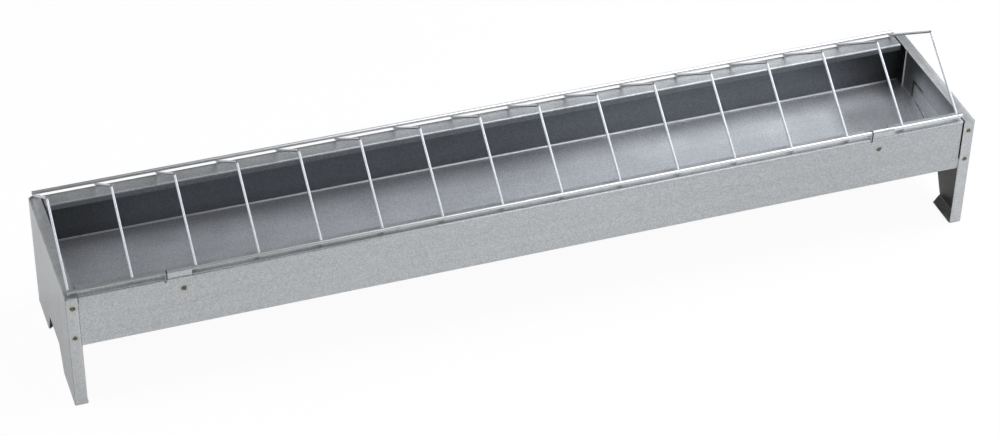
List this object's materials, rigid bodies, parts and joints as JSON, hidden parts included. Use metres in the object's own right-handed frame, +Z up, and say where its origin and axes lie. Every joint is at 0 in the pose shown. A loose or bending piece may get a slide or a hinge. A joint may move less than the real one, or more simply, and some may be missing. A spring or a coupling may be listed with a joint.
{
  "type": "poultry feed trough",
  "caption": "Long sheet-metal feed trough on end plates that form its legs, with a gable-shaped wire grille hinged along its front edge.",
  "frame": {"origin": "on the ground, under the middle of the trough", "axes": "+X along the trough, +Y from its front, where the grille is hinged, to its back, +Z up"},
  "size_m": [1, 0.178, 0.2024],
  "materials": {
    "pan_sheet": "galvanised sheet, fine zinc grain, satin",
    "end_plate_sheet": "galvanised sheet, fine zinc grain, satin",
    "clip_sheet": "galvanised sheet, satin",
    "spot_weld": "scorched spot weld, dull",
    "grille_rod": "bright zinc-plated wire rod",
    "grille_wire": "bright zinc-plated wire"
  },
  "bodies": {
    "trough": {"trough_pan": "pan_sheet", "left_end_plate": "end_plate_sheet", "right_end_plate": "end_plate_sheet", "left_hinge_clip": "clip_sheet", "right_hinge_clip": "clip_sheet", "front_left_welds": "spot_weld", "front_right_welds": "spot_weld", "rear_left_welds": "spot_weld", "rear_right_welds": "spot_weld", "hinge_clip_welds": "spot_weld"},
    "grille": {"grille_front_rod": "grille_rod", "grille_rear_rod": "grille_rod", "grille_wire_01": "grille_wire", "grille_wire_02": "grille_wire", "grille_wire_03": "grille_wire", "grille_wire_04": "grille_wire", "grille_wire_05": "grille_wire", "grille_wire_06": "grille_wire", "grille_wire_07": "grille_wire", "grille_wire_08": "grille_wire", "grille_wire_09": "grille_wire", "grille_wire_10": "grille_wire", "grille_wire_11": "grille_wire", "grille_wire_12": "grille_wire", "grille_wire_13": "grille_wire", "grille_wire_14": "grille_wire", "grille_wire_15": "grille_wire", "grille_wire_16": "grille_wire"}
  },
  "joints": [
    {"name": "grille_hinge", "type": "hinge", "parent": "trough", "child": "grille", "pos_m": [0, -0.08435, 0.144], "axis": [1, 0, 0], "range_deg": [0, 200]}
  ]
}
